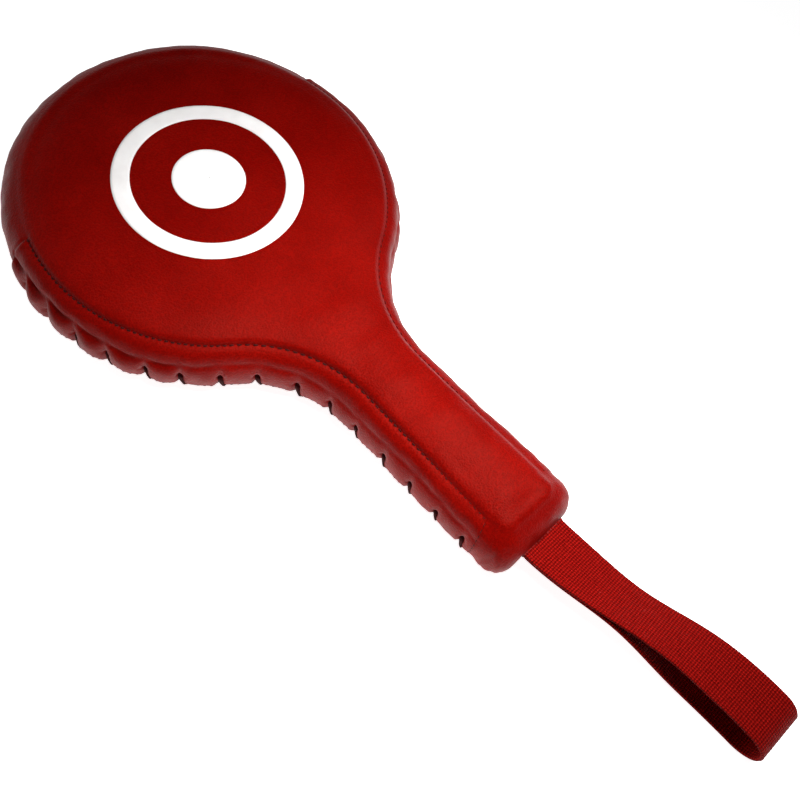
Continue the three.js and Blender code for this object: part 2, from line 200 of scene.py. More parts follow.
def smooth_path(points, samples=24):
    """A Catmull-Rom curve through the points, finely sampled."""
    p = np.array(points, float)
    p = np.vstack([2 * p[0] - p[1], p, 2 * p[-1] - p[-2]])
    out = []
    for k in range(1, len(p) - 2):
        t = np.linspace(0, 1, samples, endpoint=False)[:, None]
        a, b, c, d = p[k - 1], p[k], p[k + 1], p[k + 2]
        out.append(0.5 * (2 * b + (c - a) * t + (2 * a - 5 * b + 4 * c - d) * t ** 2
                          + (3 * b - a - 3 * c + d) * t ** 3))
    out.append(p[-2][None])
    return np.vstack(out)


SECTION = smooth_path(FACE_RIM + [SEAM_POINT] + SIDE + [HEM_POINT] + UNDER)
SECTION_Q = np.concatenate([[0], np.cumsum(np.linalg.norm(np.diff(SECTION, axis=0), axis=1))])
SECTION_Q -= SECTION_Q[np.argmin(np.linalg.norm(SECTION - np.array(SEAM_POINT), axis=1))]
Q_BACK = SECTION_Q[-1]
Q_HEM = SECTION_Q[np.argmin(np.linalg.norm(SECTION - np.array(HEM_POINT), axis=1))]
Q_HOLE = Q_HEM * 0.62
Q_FOLD = Q_HEM * 0.34
Q_UNDER_HOLE = Q_HEM + 5.0
SLOPE_STEP = 0.6


def section(q):
    """Inset and z on the smooth section, and its outward direction as (inset, z)."""
    inset = np.interp(q, SECTION_Q, SECTION[:, 0])
    z = np.interp(q, SECTION_Q, SECTION[:, 1])
    ahead, behind = q + SLOPE_STEP, q - SLOPE_STEP
    di = np.interp(ahead, SECTION_Q, SECTION[:, 0]) - np.interp(behind, SECTION_Q, SECTION[:, 0])
    dz = np.interp(ahead, SECTION_Q, SECTION[:, 1]) - np.interp(behind, SECTION_Q, SECTION[:, 1])
    size = np.maximum(np.hypot(di, dz), 1e-9)
    return inset, z, dz / size, -di / size


def bump(x, width):
    """A bell curve, 1 at x = 0."""
    return np.exp(-(x / width) ** 2)


def wave_sum(s, q, waves):
    """Soft irregular relief: a few long waves over the cover, each (along, across, phase, size)."""
    total = 0
    for along, across, phase, size in waves:
        total = total + size * np.sin(2 * np.pi * (s * round(LOOP / along) / LOOP + q / across) + phase)
    return total


SOFT_WAVES = [
    (61, 47, 0.4, 0.16), (37, -71, 2.1, 0.14), (23, 33, 4.0, 0.12), (15, -27, 1.2, 0.09),
    (9.5, 19, 5.2, 0.05),
]
# each lobe of leather between two lace stitches has its own fullness and lean
LOBE_SIZE = 1 + 0.28 * rng.uniform(-1, 1, (2, LACE_COUNT + 1))
LOBE_LEAN = rng.uniform(-0.14, 0.14, (2, LACE_COUNT + 1))
HOLE_SHIFT = rng.uniform(-1.1, 1.1, (2, LACE_COUNT))
STITCH_PITCH = 3.6
TIP_FULLNESS = 2.0
TIP_FULL_TO = 60.0
# how far above the edge the hem's stitches pull the leather in
HEM_STITCH = 3.0
# the leather below the fold is loose round the head and gets tighter along the neck
LOOSE_FROM = 205.0
LOOSE_TO = 290.0
# the first and last lobes reach past the band's ends
LOBE_BEFORE = 4.0
LOBE_AFTER = 12.0


def lace_station(side, stitch):
    """Distance round the edge of one lace stitch on side 0 (-Y) or 1 (+Y)."""
    run = BAND_START + LACE_FIRST + LACE_PITCH * stitch + HOLE_SHIFT[side, stitch]
    return run if side == 0 else LOOP - run


BAND_SOFT = 3.5


def on_band(s, soft):
    """1 along the two side bands, 0 round the wrapped tip and handle end."""
    run = from_nearest_side(s)
    begun = ramp(run, BAND_START - soft, BAND_START + soft)
    return begun * (1 - ramp(run, BAND_END - soft, BAND_END + soft))


def lobes(s):
    """Which lobe between two lace stitches s is in, and how far across it, from 0 to 1."""
    s = np.mod(np.asarray(s, float), LOOP)
    side = np.where(s <= HALF, 0, 1)
    run = from_nearest_side(s)
    number = np.zeros(run.shape, int)
    across = np.zeros(run.shape)
    for k in (0, 1):
        stations = np.array([from_nearest_side(lace_station(k, i)) for i in range(LACE_COUNT)])
        posts = np.concatenate([[BAND_START - LOBE_BEFORE], stations, [BAND_END + LOBE_AFTER]])
        here = side == k
        found = np.clip(np.searchsorted(posts, run[here]) - 1, 0, LACE_COUNT)
        number[here] = found
        across[here] = np.clip((run[here] - posts[found]) / (posts[found + 1] - posts[found]), 0, 1)
    return side, number, across


def seam_relief(run, q, side, band, pinch):
    """The seam under the face, a shallow valley between two soft rolls, and the short cross seam."""
    firm = (1 - 0.55 * ramp(run, BAND_END - 45, BAND_END - 12)) * np.where(side == 1, 0.25, 1)
    valley = -0.6 * np.exp(-np.abs(q / 1.1) ** 1.4) - 0.35 * pinch * bump(q, 1.5)
    rolls = 0.2 * bump(q + 3.0, 1.8) + 0.75 * bump(q - 5.5, 4.2)
    down_side = ramp(q, 0, 3) * (1 - ramp(q, Q_HEM, Q_HEM + 3))
    cross = -0.8 * bump(run - BAND_START, 0.9) + 0.4 * bump(run - BAND_START - 2.6, 1.7)
    return band * (firm * valley + rolls) + down_side * cross


def lobe_relief(run, q, across, size, lean):
    """Loose leather under a fold line between the lace stitches: deep round the head."""
    arch = np.abs(np.sin(np.pi * np.clip(across + lean * across * (1 - across), 0, 1))) ** 0.8
    loose = 1.2 - 0.9 * ramp(run, LOOSE_FROM, LOOSE_TO)
    fold = Q_FOLD + 2.8 * (arch - 0.5) * loose - 1.4 * lean + 1.1 * np.sin(run / 17.0)
    below = ramp(q, fold - 0.5, fold + 7.0) * (1 - ramp(q, Q_HEM, Q_HEM + 9))
    belly = loose * size * below * (2.3 * arch - 0.85)
    return belly - (1.15 * arch * size * loose + 0.14) * bump(q - fold, 1.8)


def lace_relief(q, across):
    """Each lace draws the edge in from its hole to the back panel, and creases the leather above."""
    near = np.minimum(across, 1 - across) * LACE_PITCH
    drawn = ramp(q, Q_HOLE - 2.5, Q_HOLE + 1.5) * (1 - ramp(q, Q_HEM + 4, Q_HEM + 10))
    pull = drawn * (1.6 * bump(near, 2.3) - 0.3 * bump(near - 2.9, 1.4))
    hole = 1.1 * bump(near, 1.9) * bump(q - Q_HOLE, 1.9)
    above = ramp(q, Q_HOLE - 9, Q_HOLE) * (1 - ramp(q, Q_HOLE, Q_HOLE + 3))
    return -pull - hole - 0.75 * bump(near, 1.3) * above


def hem_relief(s, q, band, pinch):
    """The stitched hem along the edge, and the joint with the back panel."""
    joint = (0.45 + 0.5 * on_band(s, 6)) * np.exp(-np.abs((q - Q_HEM) / 0.9) ** 1.4)
    pricks = 0.2 * pinch * bump(q - Q_HEM + HEM_STITCH, 0.8)
    return band * (0.25 * bump(q - Q_HEM + 1.4, 1.0) - pricks) - joint


def relief(s, q):
    """How far the leather stands out of (or sinks into) its smooth section, in mm."""
    s, q = np.broadcast_arrays(np.asarray(s, float), np.asarray(q, float))
    run = from_nearest_side(s)
    band = on_band(s, BAND_SOFT)
    side, number, across = lobes(s)
    size, lean = LOBE_SIZE[side, number], LOBE_LEAN[side, number]
    pinch = 0.5 + 0.5 * np.cos(2 * np.pi * run / STITCH_PITCH)
    padding = wave_sum(s, q, SOFT_WAVES) * ramp(q, 2, 9) * (1 - ramp(q, Q_HEM + 4, Q_BACK - 4))
    # the tip's wrapped leather is fuller than the sewn sides
    full = ramp(q, -9, 2) * (1 - ramp(q, Q_HEM - 6, Q_HEM + 2))
    tip = TIP_FULLNESS * (1 - ramp(run, TIP_FULL_TO, BAND_START)) * full
    loose_edge = band * (lobe_relief(run, q, across, size, lean) + lace_relief(q, across))
    sewn = seam_relief(run, q, side, band, pinch) + hem_relief(s, q, band, pinch)
    return padding + tip + sewn + loose_edge + end_puckers(s, q)


# creases at the handle's lower corner: (place round it, lean, depth, width)
CORNER_CREASES = [(-8.5, 0.34, 0.55, 2.0), (-2.0, 0.1, 0.7, 2.3), (4.0, -0.18, 0.55, 2.0)]


def end_puckers(s, q):
    """Gathered leather at the corners of the handle's end, more at the -Y one."""
    run = from_nearest_side(s)
    amount = np.where(np.mod(s, LOOP) <= HALF, 1.0, 0.3)
    away = run - LEG_STARTS[3] - LEGS[3] * 0.2
    total = 0.1 * bump(away, 9) * ramp(q, 1, 7) * np.sin(away * 1.83 - 0.16 * q + 1.3)
    for place_round, lean, depth, width in CORNER_CREASES:
        off = away - place_round - lean * (Q_HEM - q)
        total = total - depth * bump(off, width) * ramp(q, 7, 20)
        total = total + 0.5 * depth * bump(off - 2.6, width) * ramp(q, 9, 22)
    total = total - 0.5 * bump(away + 7, 4) * bump(q - 3, 4)
    total = total * amount * (1 - 0.7 * ramp(q, Q_HEM - 8, Q_HEM))
    # and a shallow groove where the side band ends
    return total - 0.3 * bump(run - BAND_END - 2, 2.4) * ramp(q, 5, 12)


# The strap leaves through a slot in the end: the leather turns in above and below it.
SLOT_TOP = STRAP_Z + 4.4
SLOT_LOW = STRAP_Z - 3.6
SLOT_DEPTH = 9.0
SLOT_SIDE_GAP = 0.6
SLOT_SIDE_ROUND = 4.0


def tuck(s, z):
    """How far the leather turns inwards into the strap's slot, in mm."""
    y = edge(s, 0)[1]
    away = np.abs(y - STRAP_Y) - WEB_WIDTH / 2
    across = (1 - ramp(away, SLOT_SIDE_GAP, SLOT_SIDE_ROUND)) * (from_nearest_side(s) > LEG_STARTS[3])
    upright = (1 - ramp(z, SLOT_TOP - 1.8, SLOT_TOP + 0.9)) * ramp(z, SLOT_LOW - 0.9, SLOT_LOW + 1.8)
    return SLOT_DEPTH * across * upright


# ---------------------------------------------------------------- the face's height

CROWN = 2.0
CROWN_FROM = 24.0
CROWN_REACH = 50.0
FACE_BLUR = 4.5
# slight hollows and ripples of the padding: (length, heading, phase, size)
FACE_WAVES = [
    (83, 0.5, 0.3, 0.13), (57, -0.9, 1.9, 0.12), (41, 0.15, 4.4, 0.12), (29, 1.2, 2.7, 0.06),
    (24, -0.35, 0.9, 0.07), (17, 0.8, 5.1, 0.03), (13, -0.2, 3.3, 0.025),
]
# the cover's height passes from the section to the face's own between these insets
ON_FACE_FROM = 12.0
ON_FACE_TO = 20.0
# past this x the neck's fillets count as inside the outline; the measuring goes in blocks of points
NECK_FROM = 60.0
OUTLINE_POINTS = 900
BLOCK = 4000


def outline_distance(points):
    """Distance of plan points from the widest outline, in mm."""
    x, y = edge(np.linspace(0, LOOP, OUTLINE_POINTS, endpoint=False), 0)
    nearest = []
    for start in range(0, len(points), BLOCK):
        block = points[start:start + BLOCK]
        nearest.append(np.hypot(block[:, None, 0] - x, block[:, None, 1] - y).min(1))
    return np.concatenate(nearest)


def face_profile(away):
    """Height of the face at a distance in from the outline."""
    rim = SECTION[SECTION_Q <= 0]
    z = np.interp(away, rim[::-1, 0], rim[::-1, 1])
    return z + CROWN * (1 - np.exp(-(np.maximum(away - CROWN_FROM, 0) / CROWN_REACH) ** 1.5))


def blurred(values, width):
    """A grid of values smoothed by a bell curve, width cells wide."""
    reach = int(3 * width)
    kernel = np.exp(-0.5 * (np.arange(-reach, reach + 1) / width) ** 2)
    kernel /= kernel.sum()
    for axis in (0, 1):
        pad = [(reach, reach) if k == axis else (0, 0) for k in (0, 1)]
        padded = np.pad(values, pad, mode="edge")
        values = sum(
            weight * np.take(padded, np.arange(values.shape[axis]) + k, axis=axis)
            for k, weight in enumerate(kernel)
        )
    return values


class FaceHeight:
    """The face's smooth height over the plan, rounded off where the edges' slopes meet."""

    def __init__(self):
        self.low = np.array([-HEAD_RADIUS - 4, -HEAD_RADIUS - 4])
        count = (int(HANDLE_END + HEAD_RADIUS + 8), int(2 * HEAD_RADIUS + 8))
        x, y = np.meshgrid(*[self.low[k] + np.arange(count[k]) for k in (0, 1)], indexing="ij")
        away = outline_distance(np.column_stack([x.ravel(), y.ravel()])).reshape(x.shape)
        neck = (x > NECK_FROM) & (np.abs(y) < HANDLE_HALF_WIDTH + NECK_FILLET)
        inside = (np.hypot(x, y) < HEAD_RADIUS) | neck
        self.values = blurred(face_profile(np.where(inside, away, 0)), FACE_BLUR)

    def at(self, x, y):
        u, v = x - self.low[0], y - self.low[1]
        i = np.clip(u.astype(int), 0, self.values.shape[0] - 2)
        j = np.clip(v.astype(int), 0, self.values.shape[1] - 2)
        fu, fv = u - i, v - j
        h = self.values
        smooth = ((h[i, j] * (1 - fu) + h[i + 1, j] * fu) * (1 - fv)
                  + (h[i, j + 1] * (1 - fu) + h[i + 1, j + 1] * fu) * fv)
        return smooth + self.waves(x, y)

    def waves(self, x, y):
        """The padding's ripples, stronger on the handle."""
        total = 0
        for length, heading, phase, size in FACE_WAVES:
            along = x * math.cos(heading) + y * math.sin(heading)
            total = total + size * np.sin(2 * np.pi * along / length + phase)
        return total * (0.7 + 1.3 * ramp(x, 60, 130))


FACE_HEIGHT = FaceHeight()


def cover_points(s, q, lift=0.0):
    """Points on the cover, or standing out of it by lift, as an array of x, y, z in mm."""
    inset, z, out_inset, out_z = section(q)
    height = relief(s, q) + lift
    flat_x, flat_y = edge(s, inset)
    share = ramp(inset, ON_FACE_FROM, ON_FACE_TO) * (q < 0)
    z = z + share * (FACE_HEIGHT.at(flat_x, flat_y) - z)
    inset = inset + out_inset * height
    z = z + out_z * height
    inset = inset + tuck(s, z)
    x, y = edge(s, inset)
    return np.stack([x, y, z], -1)


# ---------------------------------------------------------------- mesh helpers


def place(points):
    """Shape millimetres to the frame's metres."""
    moved = np.array(points, float)
    moved[..., 0] += HEAD_X
    return moved * MM


def in_scene(name, data):
    obj = bpy.data.objects.new(name, data)
    bpy.context.scene.collection.objects.link(obj)
    return obj


def new_mesh(name, points, faces):
    """A smooth-shaded object from points in shape millimetres."""
    mesh = bpy.data.meshes.new(name)
    mesh.from_pydata(place(points).tolist(), [], faces)
    mesh.validate()
    mesh.polygons.foreach_set("use_smooth", [True] * len(mesh.polygons))
    mesh.update()
    return in_scene(name, mesh)


def grid_faces(rows, columns, closed):
    """Quads of a grid of rows x columns points; closed joins the last row to the first."""
    i = np.arange(rows if closed else rows - 1)[:, None]
    j = np.arange(columns - 1)[None]
    a = i * columns + j
    b = ((i + 1) % rows) * columns + j
    return np.stack([a, b, b + 1, a + 1], -1).reshape(-1, 4)


def ring_faces(rows, count, closed):
    """Quads between rings of count points each; closed joins the last ring to the first."""
    faces = grid_faces(rows, count + 1, closed)
    return (faces // (count + 1) * count + faces % (count + 1) % count).tolist()


def apply_modifiers(obj):
    evaluated = obj.evaluated_get(bpy.context.evaluated_depsgraph_get())
    mesh = bpy.data.meshes.new_from_object(evaluated)
    obj.modifiers.clear()
    old = obj.data
    obj.data = mesh
    bpy.data.meshes.remove(old)
    return obj


def weld(obj, distance):
    """Joins the points that lie within a distance of each other, in mm."""
    obj.modifiers.new("weld", "WELD").merge_threshold = distance * MM
    return apply_modifiers(obj)


LEATHER_THICKNESS = 1.2
CUT_EDGE_ANGLE = math.radians(52)


def thicken(obj):
    """Gives a leather surface its thickness, inwards, with crisp cut edges."""
    solid = obj.modifiers.new("thickness", "SOLIDIFY")
    solid.thickness = LEATHER_THICKNESS * MM
    solid.offset = -1
    solid.use_even_offset = False
    apply_modifiers(obj)
    obj.data.set_sharp_from_angle(angle=CUT_EDGE_ANGLE)
    return obj


def joined(name, parts):
    """One mesh from several (points, faces) parts."""
    points = []
    faces = []
    for part_points, part_faces in parts:
        base = len(points)
        points.extend(np.asarray(part_points).tolist())
        faces.extend([[base + i for i in face] for face in part_faces])
    return new_mesh(name, np.array(points), faces)


# ---------------------------------------------------------------- leather cover

AROUND = 1080
START_STATION = round(BAND_START / LOOP * AROUND)
END_STATION = round(BAND_END / LOOP * AROUND)
FACE_RIM_WIDTH = 22.0
FACE_RINGS = 44
BACK_RINGS = 34
PANEL_SPACING = 0.9
WALL_SPACING = 0.85
WELD_MIDDLE = 0.02
WELD_WRAP = 0.06


def q_samples(start, stop, spacing, focus, focus_spacing=0.35, reach=3.0):
    """Distances along the section, closer together near the focus lines."""
    out = [start]
    while out[-1] < stop - 1e-6:
        near = min(abs(out[-1] - line) for line in focus)
        out.append(min(out[-1] + (focus_spacing if near < reach else spacing), stop))
    return np.array(out)


def cover_grid(s, q):
    """The cover's points over every pair of distances s and q."""
    return cover_points(*np.meshgrid(s, q, indexing="ij"))


def middle_line(s):
    """The point on the paddle's middle line that the face narrows to, for each s."""
    start, stop = LEG_STARTS[1] * 0.80, LEG_STARTS[3]
    share = np.clip((from_nearest_side(s) - start) / (stop - start), 0, 1)
    return np.stack([share * (HANDLE_END - HANDLE_HALF_WIDTH), 0 * share], -1)


def middle_rings(s, ring, rings, on_face):
    """Rings of points from the inner end of a rim to the middle line."""
    centre = middle_line(s)
    out = []
    for k in range(1, rings + 1):
        share = 1 - (1 - k / rings) ** 1.15
        flat = ring[:, :2] + (centre - ring[:, :2]) * share
        z = FACE_HEIGHT.at(flat[:, 0], flat[:, 1]) if on_face else ring[:, 2]
        out.append(np.column_stack([flat, z]))
    return out


def panel(name, q_rim, rings, on_face):
    """A whole panel: its rim along the section and its middle, closed over the middle line."""
    s = np.linspace(0, LOOP, AROUND, endpoint=False)
    rim = cover_grid(s, q_rim)
    columns = [*rim.transpose(1, 0, 2), *middle_rings(s, rim[:, -1], rings, on_face)]
    faces = grid_faces(AROUND, len(columns), True)
    if not on_face:
        faces = faces[:, ::-1]
    points = np.stack(columns, 1).reshape(-1, 3)
    return weld(new_mesh(name, points, faces.tolist()), WELD_MIDDLE)


def wall_strip(first, last):
    """The cover's side, seam to hem, between two stations round the edge, as points and quads."""
    s = np.arange(first, last + 1) * (LOOP / AROUND)
    q = q_samples(0, Q_HEM, WALL_SPACING, (0, Q_HEM, Q_FOLD))
    return cover_grid(s, q).reshape(-1, 3), grid_faces(len(s), len(q), False)[:, ::-1].tolist()


def section_q_at_inset(inset):
    """Where the face's side of the section has this inset."""
    rim = SECTION_Q <= 0
    return float(np.interp(-inset, -SECTION[rim, 0], SECTION_Q[rim]))


def merge_into(target, other):
    bpy.ops.object.select_all(action="DESELECT")
    target.select_set(True)
    other.select_set(True)
    bpy.context.view_layer.objects.active = target
    bpy.ops.object.join()


def face_cover():
    """The striking face with the leather it wraps over the head's tip and the handle's end."""
    q_rim = -q_samples(0, -section_q_at_inset(FACE_RIM_WIDTH), PANEL_SPACING, (0,), 0.4, 4.0)
    face = panel("face_cover", q_rim, FACE_RINGS, True)
    wraps = [wall_strip(-START_STATION, START_STATION), wall_strip(END_STATION, AROUND - END_STATION)]
    merge_into(face, joined("wrap", wraps))
    return thicken(weld(face, WELD_WRAP))


def side_band(name, side):
    first, last = START_STATION, END_STATION
    if side == 1:
        first, last = AROUND - last, AROUND - first
    return thicken(new_mesh(name, *wall_strip(first, last)))


def back_cover():
    q_rim = q_samples(Q_HEM, Q_BACK, PANEL_SPACING, (Q_HEM,), 0.4, 3.0)
    return thicken(panel("back_cover", q_rim, BACK_RINGS, False))


# ---------------------------------------------------------------- threads and laces


def unit(vectors):
    return vectors / np.maximum(np.linalg.norm(vectors, axis=-1), 1e-9)[..., None]


def tube(points, normals, wide, thick, sides):
    """A flat cord along points, wide across and thick along each normal, as points and faces."""
    along = unit(np.gradient(points, axis=0))
    across = unit(np.cross(along, normals))
    up = np.cross(across, along)
    angle = np.linspace(0, 2 * np.pi, sides, endpoint=False)
    wides, thicks = (np.broadcast_to(size, len(points)) for size in (wide, thick))
    rings = (points[:, None] + across[:, None] * np.outer(wides, np.cos(angle))[..., None]
             + up[:, None] * np.outer(thicks, np.sin(angle))[..., None])
    last = (len(points) - 1) * sides
    faces = [face[::-1] for face in ring_faces(len(points), sides, False)]
    faces += [list(range(sides))[::-1], [last + j for j in range(sides)]]
    return rings.reshape(-1, 3), faces


def surface_frame(s, q, lift=0.0):
    """Points standing out of the cover by lift, and the cover's outward directions there."""
    step = 0.5
    ds = cover_points(s + step, q, lift) - cover_points(s - step, q, lift)
    dq = cover_points(s, q + step, lift) - cover_points(s, q - step, lift)
    return cover_points(s, q, lift), unit(np.cross(dq, ds))


STITCH_STEPS = 7
STITCH_SIDES = 7
STITCH_SINK = 0.25
CROSS_PITCH = 3.3
CROSS_LENGTH = 2.5


def stitch(start, stop, lift, radius):
    """One sewing stitch over the leather between two (s, q) points."""
    t = np.linspace(0, 1, STITCH_STEPS)
    s = start[0] + (stop[0] - start[0]) * t
    q = start[1] + (stop[1] - start[1]) * t
    rise = lift * np.sin(np.pi * t) ** 0.6 - STITCH_SINK
    points, normals = surface_frame(s, q)
    size = radius * (0.55 + 0.45 * np.sin(np.pi * t))
    return tube(points + normals * rise[:, None], normals, size * 1.15, size, STITCH_SIDES)


def seam_stitches(name, side, q, length, lift, radius):
    """A row of stitches along the edge at one place on the section, sunk near the handle's end."""
    parts = []
    run = BAND_START + 1
    while run < BAND_END - length:
        start = run + rng.uniform(-0.08, 0.08)
        stop = start + length
        if side == 1:
            start, stop = LOOP - start, LOOP - stop
        sway = rng.uniform(-0.07, 0.07)
        sunk = 1 - 0.5 * ramp(run, BAND_END - 70, BAND_END - 20)
        parts.append(stitch((start, q + sway), (stop, q - sway), lift * sunk, radius * sunk))
        run += STITCH_PITCH
    return joined(name, parts)


def cross_stitches(name, side):
    """The short rows of stitches down the wall at the side band's two ends."""
    parts = []
    for run in (BAND_START + 0.2, BAND_END - 0.2):
        s = run if side == 0 else LOOP - run
        for q in np.arange(1.5, Q_HEM - 3, CROSS_PITCH):
            parts.append(stitch((s, q), (s, q + CROSS_LENGTH), 0.25, 0.24))
    return joined(name, parts)


# the lace is wider at its upper hole than where it goes under the edge
LACE_WIDE_END = 2.15
LACE_NARROW_END = 1.35
LACE_HALF_THICKNESS = 0.75
LACE_SLANT = 3.4
LACE_POINTS = 15
LACE_SINK = 3.2
LACE_INSIDE = -5.5
LACE_FINENESS = 3
LACE_SIDES = 10


def lace_route(side):
    """The lace's middle line and outward directions over all its stitches on one side."""
    points = []
    normals = []
    widths = []
    sign = 1 if side == 0 else -1
    q = np.linspace(Q_HOLE, Q_UNDER_HOLE, LACE_POINTS)
    share = (q - q[0]) / (q[-1] - q[0])
    rise = 0.75 * np.clip(np.minimum(share, 1 - share) * 9, 0, 1) - 0.3
    shown = LACE_WIDE_END + (LACE_NARROW_END - LACE_WIDE_END) * share
    for i in range(LACE_COUNT):
        s = lace_station(side, i)
        before = cover_points(s - 4 * sign, Q_HOLE, LACE_INSIDE)
        over, out = surface_frame(s + LACE_SLANT * sign * share ** 1.2, q)
        over = over + out * rise[:, None]
        after = cover_points(s + (LACE_SLANT + 4) * sign, Q_HEM - 4, LACE_INSIDE)
        into, out_of = over[[0, -1]] - out[[0, -1]] * LACE_SINK
        points.extend([before, into, *over, out_of, after])
        normals.extend([out[0], out[0], *out, out[-1], out[-1]])
        widths.extend([shown[-1], shown[0], *shown, shown[-1], shown[-1]])
    return np.array(points), np.array(normals), np.array(widths)[:, None]


def edge_lace(name, side):
    points, normals, widths = (smooth_path(row, LACE_FINENESS) for row in lace_route(side))
    return new_mesh(name, *tube(points, unit(normals), widths[:, 0], LACE_HALF_THICKNESS, LACE_SIDES))


# ---------------------------------------------------------------- wrist strap

LOOP_STRAIGHT = STRAP_REACH - WEB_THICKNESS / 2 - LOOP_HALF_OPENING
TAIL_SHOWN = 16.0
TWIST_MIDDLE = math.radians(-16)
TWIST_END = math.radians(4)
WEB_STEP = 0.6
WEB_COLUMNS = 31
NOSE_POINTS = 60
# across the webbing, from -1 to 1: the woven columns end here, and the selvedge rounds off
COLUMNS_TO = 0.93
SELVEDGE_FROM = 0.955
COLUMN_HEIGHT = 0.09
COLUMN_WAVES = 13
SELVEDGE_HEIGHT = 0.12


def half_opening(distance):
    """Half the gap between the two plies' middles, at a distance out from the hinge."""
    closed = (WEB_THICKNESS + PLY_GAP) / 2
    t = np.clip((distance - PLIES_TOGETHER) / (LOOP_STRAIGHT - PLIES_TOGETHER), 0, 1)
    swell = t ** 3 * (t * (6 * t - 15) + 10)
    return closed + (LOOP_HALF_OPENING - closed) * swell


def strap_line():
    """The webbing's middle line in side view: out along the upper ply and back along the lower."""
    out = np.arange(-TAIL_SHOWN, LOOP_STRAIGHT, WEB_STEP)
    upper = np.column_stack([out, half_opening(out)])
    angle = np.linspace(math.pi / 2, -math.pi / 2, NOSE_POINTS)
    nose = np.column_stack([
        LOOP_STRAIGHT + LOOP_HALF_OPENING * np.cos(angle),
        LOOP_HALF_OPENING * np.sin(angle),
    ])
    return np.vstack([upper, nose, upper[::-1] * [1, -1]])


def strap_twist(share):
    """How far the webbing is turned about its length: one way on the way out, and back again."""
    middle = np.sin(np.pi * np.clip(share / 0.78, 0, 1)) ** 2
    return TWIST_MIDDLE * middle + TWIST_END * ramp(share, 0.55, 1)


def web_section():
    """The webbing's section, once round: over the outer face and back along the inner one."""
    across = np.linspace(-1, 1, WEB_COLUMNS)
    away = np.abs(across)
    past = np.maximum(away - SELVEDGE_FROM, 0) / (1 - SELVEDGE_FROM)
    columns = COLUMN_HEIGHT * np.cos(across * np.pi * COLUMN_WAVES) * (away < COLUMNS_TO)
    columns += SELVEDGE_HEIGHT * bump(away - 0.95, 0.03)
    height = (WEB_THICKNESS / 2 + columns) * np.sqrt(np.maximum(1 - past ** 2, 0.06))
    outer = np.column_stack([across * WEB_WIDTH / 2, height])
    return np.vstack([outer, outer[::-1] * [1, -1]])


def wrist_strap():
    """One length of ribbed webbing, doubled where it leaves the handle and opening into a loop."""
    line = strap_line()
    along = unit(np.gradient(line, axis=0))
    run = np.concatenate([[0], np.cumsum(np.linalg.norm(np.diff(line, axis=0), axis=1))])
    share = np.clip(line[:, 0] / STRAP_REACH, 0, 1)
    bow = np.sin(np.pi * share)
    drift = STRAP_DRIFT * ramp(share, 0, 1) + STRAP_BOW * bow
    rise = -STRAP_DROP * ramp(share, 0, 1) - STRAP_SAG * bow
    ripple = 0.35 * np.sin(run / 23 + 0.7) * ramp(share, 0.15, 0.4)
    twist = strap_twist(share)[:, None]
    y, thick = web_section().T
    x = line[:, :1] - along[:, 1:] * thick
    h = line[:, 1:] + along[:, :1] * thick + ripple[:, None] * y / WEB_WIDTH
    points = np.stack([
        HINGE_X + x,
        STRAP_Y + drift[:, None] + y * np.cos(twist) - h * np.sin(twist),
        STRAP_Z + rise[:, None] + y * np.sin(twist) + h * np.cos(twist),
    ], -1)
    count = len(y)
    last = (len(line) - 1) * count
    faces = ring_faces(len(line), count, False)
    faces += [list(range(count)), [last + j for j in range(count)][::-1]]
    obj = new_mesh("wrist_strap_webbing", points.reshape(-1, 3), faces)
    add_weave_uv(obj, np.repeat(run, count), np.tile(y, len(line)))
    return obj


def add_weave_uv(obj, along, across):
    """Millimetres along and across the webbing, for its weave."""
    mesh = obj.data
    layer = mesh.uv_layers.new(name="weave")
    index = np.zeros(len(mesh.loops), int)
    mesh.loops.foreach_get("vertex_index", index)
    layer.data.foreach_set("uv", np.column_stack([across[index], along[index]]).ravel())


# ---------------------------------------------------------------- printed target


PRINT_AROUND = 256
PRINT_SPACING = 1.2
PRINT_RISE = 0.16
PRINT_EDGE_DROP = 0.12
PRINT_SUNK = 0.3
ABOVE_FACE = 0.2


def face_height(plan):
    """Height of the finished face at plan points, from its mesh."""
    above = [Vector(((x + HEAD_X) * MM, y * MM, ABOVE_FACE)) for x, y in plan]
    down = Vector((0, 0, -1))
    return np.array([FACE_TREE.ray_cast(start, down)[0].z / MM for start in above])


def film(name, inner, outer):
    """A thin ring of print lying on the face; inner 0 makes a disc."""
    radii = np.linspace(max(inner, 0.02), outer, max(int((outer - inner) / PRINT_SPACING), 8))
    angle = np.linspace(0, 2 * np.pi, PRINT_AROUND, endpoint=False)
    plan = np.stack([np.outer(np.cos(angle), radii), np.outer(np.sin(angle), radii)], -1)
    z = face_height(plan.reshape(-1, 2)).reshape(plan.shape[:2])
    top = np.dstack([plan, z + PRINT_RISE])
    top[:, -1, 2] -= PRINT_EDGE_DROP
    if inner:
        top[:, 0, 2] -= PRINT_EDGE_DROP
    low = np.dstack([plan, z - PRINT_SUNK])
    rings = np.concatenate([top, low[:, ::-1]], axis=1)
    faces = [face[::-1] for face in ring_faces(PRINT_AROUND, rings.shape[1], True)]
    return new_mesh(name, rings.reshape(-1, 3), faces)


# ---------------------------------------------------------------- materials


